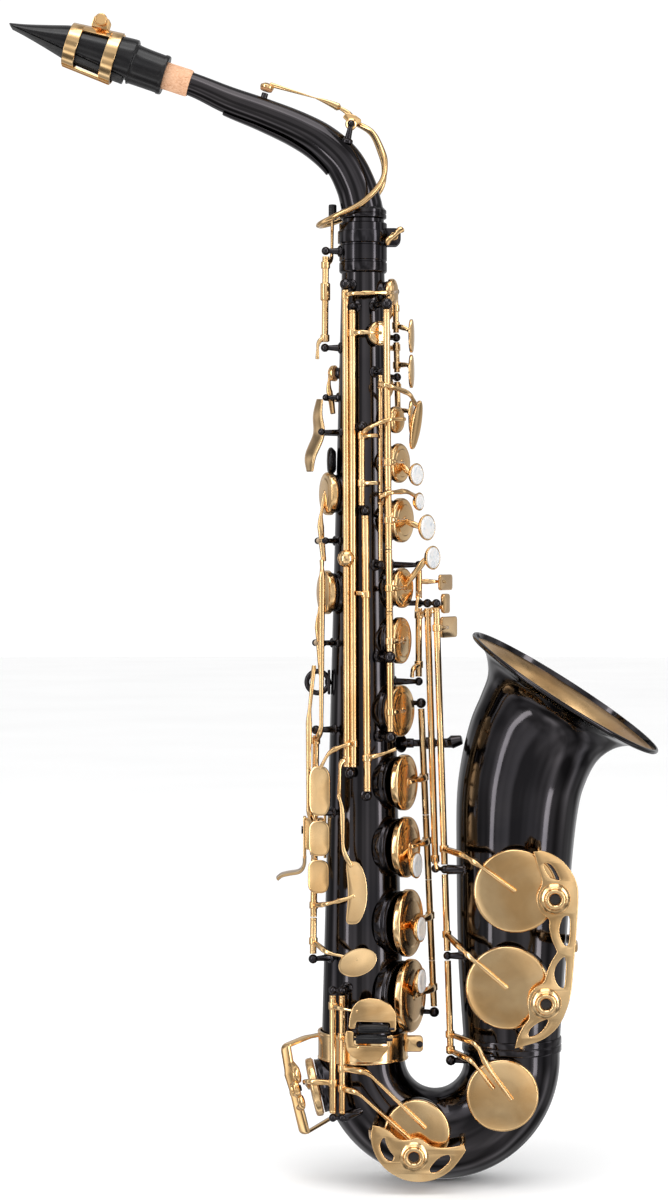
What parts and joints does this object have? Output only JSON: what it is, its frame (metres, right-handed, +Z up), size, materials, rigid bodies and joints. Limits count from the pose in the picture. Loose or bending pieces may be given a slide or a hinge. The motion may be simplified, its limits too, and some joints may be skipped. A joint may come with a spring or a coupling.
{
  "type": "alto saxophone",
  "caption": "Curved single-reed wind instrument with a black nickel body, gold keywork on hinge rods, an open bell, a crooked neck and a mouthpiece.",
  "frame": {"origin": "centre of the strap ring, where the player's strap holds the instrument", "axes": "+Z up along the body tube towards the neck, +X from the body tube to the bell, -Y to the player's right-hand side"},
  "size_m": [0.3657, 0.1222, 0.6567],
  "materials": {
    "black_nickel": "black nickel plate, mirror polished",
    "gold_lacquer": "clear gold lacquer, polished",
    "ebonite": "polished hard rubber",
    "cork": "natural cork with dark flecks",
    "reed_resin": "black resin reed, satin",
    "pearl": "white pearl",
    "felt": "black felt",
    "pad_leather": "tan leather pad",
    "blue_steel": "blued spring steel"
  },
  "bodies": {
    "root": {"bell": "black_nickel", "bell_bow_ring": "black_nickel", "bell_brace": "black_nickel", "bell_key_guard": "gold_lacquer", "body_tube": "black_nickel", "bow": "black_nickel", "bow_clamp_band": "gold_lacquer", "low_c_guard": "gold_lacquer", "low_eb_guard": "gold_lacquer", "strap_ring": "black_nickel", "thumb_hook": "gold_lacquer", "thumb_rest": "ebonite"},
    "neck": {"neck_tube": "black_nickel", "neck_cork": "cork"},
    "mouthpiece": {"mouthpiece": "ebonite", "reed": "reed_resin", "ligature": "gold_lacquer"},
    "ligature_screw": {"ligature_screw": "gold_lacquer"},
    "neck_screw": {"neck_screw": "gold_lacquer"},
    "octave_lever": {"octave_lever": "gold_lacquer"},
    "octave_rod": {"octave_rod": "gold_lacquer"},
    "neck_octave_key": {"neck_octave_key": "gold_lacquer"},
    "body_octave_key": {"body_octave_key": "gold_lacquer"},
    "side_e_key": {"side_e_key": "gold_lacquer"},
    "high_fs_lever": {"high_fs_lever": "gold_lacquer"},
    "high_fs_key": {"high_fs_key": "gold_lacquer"},
    "side_c_lever": {"side_c_lever": "gold_lacquer"},
    "side_c_key": {"side_c_key": "gold_lacquer"},
    "side_bb_lever": {"side_bb_lever": "gold_lacquer"},
    "side_bb_key": {"side_bb_key": "gold_lacquer"},
    "fs_trill_touch": {"fs_trill_touch": "gold_lacquer"},
    "fs_trill_lever": {"fs_trill_lever": "gold_lacquer"},
    "alt_fs_key": {"alt_fs_key": "gold_lacquer"},
    "b_key": {"b_key": "gold_lacquer"},
    "c_vent_key": {"c_vent_key": "gold_lacquer"},
    "a_key": {"a_key": "gold_lacquer"},
    "g_key": {"g_key": "gold_lacquer"},
    "bis_key": {"bis_key": "gold_lacquer"},
    "front_f_key": {"front_f_key": "gold_lacquer"},
    "g_sharp_lever": {"g_sharp_lever": "gold_lacquer"},
    "g_sharp_key": {"g_sharp_key": "gold_lacquer"},
    "f_key": {"f_key": "gold_lacquer"},
    "fs_key": {"fs_key": "gold_lacquer"},
    "e_key": {"e_key": "gold_lacquer"},
    "d_key": {"d_key": "gold_lacquer"},
    "low_bb_key": {"low_bb_key": "gold_lacquer"},
    "low_b_lever": {"low_b_lever": "gold_lacquer"},
    "low_b_key": {"low_b_key": "gold_lacquer"},
    "low_cs_lever": {"low_cs_lever": "gold_lacquer"},
    "low_cs_key": {"low_cs_key": "gold_lacquer"},
    "low_eb_key": {"low_eb_key": "gold_lacquer"},
    "eb_roller": {"eb_roller": "ebonite"},
    "low_c_key": {"low_c_key": "gold_lacquer"},
    "c_roller": {"c_roller": "ebonite"},
    "palm_d_key": {"palm_d_key": "gold_lacquer"},
    "palm_eb_key": {"palm_eb_key": "gold_lacquer"},
    "palm_f_key": {"palm_f_key": "gold_lacquer"}
  },
  "joints": [
    {"name": "neck_turn", "type": "hinge", "parent": "root", "child": "neck", "pos_m": [0.0256, 0, 0.2498], "axis": [0, 0, 1], "range_deg": [-25, 25]},
    {"name": "mouthpiece_slide", "type": "slide", "parent": "neck", "child": "mouthpiece", "axis": [-0.9506, 0, 0.3103], "range_m": [0, 0.008]},
    {"name": "ligature_screw_turn", "type": "hinge", "parent": "mouthpiece", "child": "ligature_screw", "pos_m": [-0.12141, 0, 0.37204], "axis": [0, -1, 0], "continuous": true},
    {"name": "neck_screw_turn", "type": "hinge", "parent": "root", "child": "neck_screw", "pos_m": [0.043, 0, 0.2508], "axis": [0, -1, 0], "continuous": true},
    {"name": "octave_lever_hinge", "type": "hinge", "parent": "root", "child": "octave_lever", "pos_m": [0.0022, -0.0102, 0.1408], "axis": [0, 1, 0], "range_deg": [-6, 0], "stiffness_Nm_per_rad": 0.05, "springref_deg": 11.46},
    {"name": "octave_rod_hinge", "type": "hinge", "parent": "root", "child": "octave_rod", "pos_m": [0.00411, -0.005, 0.1916], "axis": [0.0083, 0, 1], "range_deg": [0, 8], "stiffness_Nm_per_rad": 0.05, "springref_deg": -11.46},
    {"name": "neck_octave_key_hinge", "type": "hinge", "parent": "neck", "child": "neck_octave_key", "pos_m": [0.0188, -0.0044, 0.314], "axis": [0, 1, 0], "range_deg": [0, 4], "stiffness_Nm_per_rad": 0.05, "springref_deg": -11.46},
    {"name": "body_octave_key_hinge", "type": "hinge", "parent": "root", "child": "body_octave_key", "pos_m": [0.00951, 0.01258, 0.1608], "axis": [-0.4226, -0.9063, 0], "range_deg": [0, 7], "stiffness_Nm_per_rad": 0.05, "springref_deg": -11.46},
    {"name": "side_e_key_hinge", "type": "hinge", "parent": "root", "child": "side_e_key", "pos_m": [0.0201, -0.0254, -0.0462], "axis": [-0.0026, 0.0317, 0.9995], "range_deg": [-7, 0], "stiffness_Nm_per_rad": 0.05, "springref_deg": 11.46},
    {"name": "high_fs_lever_hinge", "type": "hinge", "parent": "root", "child": "high_fs_lever", "pos_m": [-0.00221, -0.01777, -0.1306], "axis": [0.0129, 0.0322, 0.9994], "range_deg": [0, 6], "stiffness_Nm_per_rad": 0.05, "springref_deg": -11.46},
    {"name": "high_fs_key_hinge", "type": "hinge", "parent": "root", "child": "high_fs_key", "pos_m": [0.0164, -0.0245, -0.0462], "axis": [-0.003, 0.0339, 0.9994], "range_deg": [-8, 0], "stiffness_Nm_per_rad": 0.05, "springref_deg": 11.46},
    {"name": "side_c_lever_hinge", "type": "hinge", "parent": "root", "child": "side_c_lever", "pos_m": [-0.00142, -0.01581, -0.0698], "axis": [0.0129, 0.0322, 0.9994], "range_deg": [0, 6], "stiffness_Nm_per_rad": 0.05, "springref_deg": -11.46},
    {"name": "side_c_key_hinge", "type": "hinge", "parent": "root", "child": "side_c_key", "pos_m": [0.00088, -0.00319, 0.0798], "axis": [0.309, -0.9511, 0], "range_deg": [0, 6], "stiffness_Nm_per_rad": 0.05, "springref_deg": -11.46},
    {"name": "side_bb_lever_hinge", "type": "hinge", "parent": "root", "child": "side_bb_lever", "pos_m": [-0.002, -0.01724, -0.1142], "axis": [0.0129, 0.0322, 0.9994], "range_deg": [0, 6], "stiffness_Nm_per_rad": 0.05, "springref_deg": -11.46},
    {"name": "side_bb_key_hinge", "type": "hinge", "parent": "root", "child": "side_bb_key", "pos_m": [-0.00053, -0.00365, 0.0223], "axis": [0.309, -0.9511, 0], "range_deg": [0, 6], "stiffness_Nm_per_rad": 0.05, "springref_deg": -11.46},
    {"name": "fs_trill_touch_hinge", "type": "hinge", "parent": "root", "child": "fs_trill_touch", "pos_m": [-0.00247, -0.01843, -0.1512], "axis": [0.0129, 0.0322, 0.9994], "range_deg": [0, 6], "stiffness_Nm_per_rad": 0.05, "springref_deg": -11.46},
    {"name": "fs_trill_lever_hinge", "type": "hinge", "parent": "root", "child": "fs_trill_lever", "pos_m": [0.02781, -0.02703, -0.0592], "axis": [-0.0078, 0.0327, 0.9994], "range_deg": [0, 5], "stiffness_Nm_per_rad": 0.05, "springref_deg": -11.46},
    {"name": "alt_fs_key_hinge", "type": "hinge", "parent": "root", "child": "alt_fs_key", "pos_m": [0.0406, -0.0265, -0.0264], "axis": [-0.0094, 0.0163, 0.9998], "range_deg": [-7, 0], "stiffness_Nm_per_rad": 0.05, "springref_deg": 11.46},
    {"name": "b_key_hinge", "type": "hinge", "parent": "root", "child": "b_key", "pos_m": [0.03934, -0.02431, 0.1078], "axis": [-0.0094, 0.0163, 0.9998], "range_deg": [0, 7], "stiffness_Nm_per_rad": 0.05, "springref_deg": -11.46},
    {"name": "c_vent_key_hinge", "type": "hinge", "parent": "root", "child": "c_vent_key", "pos_m": [0.0246, -0.0215, 0.0998], "axis": [0, 0.0375, 0.9993], "range_deg": [0, 7], "stiffness_Nm_per_rad": 0.05, "springref_deg": -11.46},
    {"name": "a_key_hinge", "type": "hinge", "parent": "root", "child": "a_key", "pos_m": [0.03965, -0.02485, 0.075], "axis": [-0.0094, 0.0163, 0.9998], "range_deg": [0, 7], "stiffness_Nm_per_rad": 0.05, "springref_deg": -11.46},
    {"name": "g_key_hinge", "type": "hinge", "parent": "root", "child": "g_key", "pos_m": [0.03997, -0.02541, 0.0404], "axis": [-0.0094, 0.0163, 0.9998], "range_deg": [0, 7], "stiffness_Nm_per_rad": 0.05, "springref_deg": -11.46},
    {"name": "bis_key_hinge", "type": "hinge", "parent": "root", "child": "bis_key", "pos_m": [0.0351, -0.02104, 0.0688], "axis": [0, 0.035, 0.9994], "range_deg": [0, 5], "stiffness_Nm_per_rad": 0.05, "springref_deg": -11.46},
    {"name": "front_f_key_hinge", "type": "hinge", "parent": "root", "child": "front_f_key", "pos_m": [0.0351, -0.01971, 0.1068], "axis": [0, 0.035, 0.9994], "range_deg": [0, 6], "stiffness_Nm_per_rad": 0.05, "springref_deg": -11.46},
    {"name": "g_sharp_lever_hinge", "type": "hinge", "parent": "root", "child": "g_sharp_lever", "pos_m": [0.0572, 0.004, 0.0474], "axis": [0, 0, 1], "range_deg": [0, 8], "stiffness_Nm_per_rad": 0.05, "springref_deg": -11.46},
    {"name": "g_sharp_key_hinge", "type": "hinge", "parent": "root", "child": "g_sharp_key", "pos_m": [0.04018, -0.02577, 0.0182], "axis": [-0.0094, 0.0163, 0.9998], "range_deg": [-7.5, 0], "stiffness_Nm_per_rad": 0.05, "springref_deg": 11.46},
    {"name": "f_key_hinge", "type": "hinge", "parent": "root", "child": "f_key", "pos_m": [0.06282, 0.00469, -0.112], "axis": [-0.0436, -0.0174, 0.9989], "range_deg": [-6, 0], "stiffness_Nm_per_rad": 0.05, "springref_deg": 11.46},
    {"name": "fs_key_hinge", "type": "hinge", "parent": "root", "child": "fs_key", "pos_m": [0.06122, 0.00405, -0.0752], "axis": [-0.0436, -0.0174, 0.9989], "range_deg": [-6, 0], "stiffness_Nm_per_rad": 0.05, "springref_deg": 11.46},
    {"name": "e_key_hinge", "type": "hinge", "parent": "root", "child": "e_key", "pos_m": [0.06483, 0.00549, -0.158], "axis": [-0.0436, -0.0174, 0.9989], "range_deg": [-6, 0], "stiffness_Nm_per_rad": 0.05, "springref_deg": 11.46},
    {"name": "d_key_hinge", "type": "hinge", "parent": "root", "child": "d_key", "pos_m": [0.06598, 0.00595, -0.1844], "axis": [-0.0436, -0.0174, 0.9989], "range_deg": [-6, 0], "stiffness_Nm_per_rad": 0.05, "springref_deg": 11.46},
    {"name": "low_bb_key_hinge", "type": "hinge", "parent": "root", "child": "low_bb_key", "pos_m": [0.07132, -0.01146, -0.102], "axis": [-0.0318, 0.0233, 0.9992], "range_deg": [0, 5], "stiffness_Nm_per_rad": 0.05, "springref_deg": -11.46},
    {"name": "low_b_lever_hinge", "type": "hinge", "parent": "root", "child": "low_b_lever", "pos_m": [0.0663, -0.00666, -0.102], "axis": [-0.0302, 0.0233, 0.9993], "range_deg": [0, 6], "stiffness_Nm_per_rad": 0.05, "springref_deg": -11.46},
    {"name": "low_b_key_hinge", "type": "hinge", "parent": "root", "child": "low_b_key", "pos_m": [0.07286, -0.01258, -0.1504], "axis": [-0.0318, 0.0233, 0.9992], "range_deg": [0, 5], "stiffness_Nm_per_rad": 0.05, "springref_deg": -11.46},
    {"name": "low_cs_lever_hinge", "type": "hinge", "parent": "root", "child": "low_cs_lever", "pos_m": [0.0572, 0.004, 0.0028], "axis": [0, 0, 1], "range_deg": [0, 6], "stiffness_Nm_per_rad": 0.05, "springref_deg": -11.46},
    {"name": "low_cs_key_hinge", "type": "hinge", "parent": "root", "child": "low_cs_key", "pos_m": [0.07473, -0.01395, -0.209], "axis": [-0.0318, 0.0233, 0.9992], "range_deg": [-5, 0], "stiffness_Nm_per_rad": 0.05, "springref_deg": 11.46},
    {"name": "low_eb_key_hinge", "type": "hinge", "parent": "root", "child": "low_eb_key", "pos_m": [0.0086, -0.0265, -0.2392], "axis": [0, 0, 1], "range_deg": [0, 7], "stiffness_Nm_per_rad": 0.05, "springref_deg": -11.46},
    {"name": "eb_roller_turn", "type": "hinge", "parent": "low_eb_key", "child": "eb_roller", "pos_m": [0.0309, -0.0412, -0.1898], "axis": [1, 0, 0], "continuous": true},
    {"name": "low_c_key_hinge", "type": "hinge", "parent": "root", "child": "low_c_key", "pos_m": [0.0138, -0.0272, -0.2392], "axis": [0, 0, 1], "range_deg": [0, 4], "stiffness_Nm_per_rad": 0.05, "springref_deg": -11.46},
    {"name": "c_roller_turn", "type": "hinge", "parent": "low_c_key", "child": "c_roller", "pos_m": [0.02988, -0.04236, -0.1954], "axis": [0.9976, -0.0698, 0], "continuous": true},
    {"name": "palm_d_key_hinge", "type": "hinge", "parent": "root", "child": "palm_d_key", "pos_m": [0.04556, 0.01097, 0.1496], "axis": [-0.0228, -0.0171, 0.9996], "range_deg": [-8, 0], "stiffness_Nm_per_rad": 0.05, "springref_deg": 11.46},
    {"name": "palm_eb_key_hinge", "type": "hinge", "parent": "root", "child": "palm_eb_key", "pos_m": [0.04496, 0.01052, 0.1756], "axis": [-0.0228, -0.0171, 0.9996], "range_deg": [-8, 0], "stiffness_Nm_per_rad": 0.05, "springref_deg": 11.46},
    {"name": "palm_f_key_hinge", "type": "hinge", "parent": "root", "child": "palm_f_key", "pos_m": [0.04445, 0.01014, 0.198], "axis": [-0.0228, -0.0171, 0.9996], "range_deg": [-8, 0], "stiffness_Nm_per_rad": 0.05, "springref_deg": 11.46}
  ],
  "couplings": [
    {"joint": "octave_rod_hinge", "follows": "octave_lever_hinge", "ratio": -1.3},
    {"joint": "neck_octave_key_hinge", "follows": "octave_lever_hinge", "ratio": -0.6},
    {"joint": "high_fs_key_hinge", "follows": "high_fs_lever_hinge", "ratio": -1.3},
    {"joint": "side_c_key_hinge", "follows": "side_c_lever_hinge", "ratio": 1},
    {"joint": "side_bb_key_hinge", "follows": "side_bb_lever_hinge", "ratio": 1},
    {"joint": "fs_trill_lever_hinge", "follows": "fs_trill_touch_hinge", "ratio": 0.8},
    {"joint": "alt_fs_key_hinge", "follows": "fs_trill_touch_hinge", "ratio": -1.1},
    {"joint": "c_vent_key_hinge", "follows": "b_key_hinge", "ratio": 1},
    {"joint": "g_sharp_key_hinge", "follows": "g_sharp_lever_hinge", "ratio": -0.9},
    {"joint": "fs_key_hinge", "follows": "f_key_hinge", "ratio": 1},
    {"joint": "low_b_key_hinge", "follows": "low_b_lever_hinge", "ratio": 0.83},
    {"joint": "low_cs_key_hinge", "follows": "low_cs_lever_hinge", "ratio": -0.8}
  ]
}
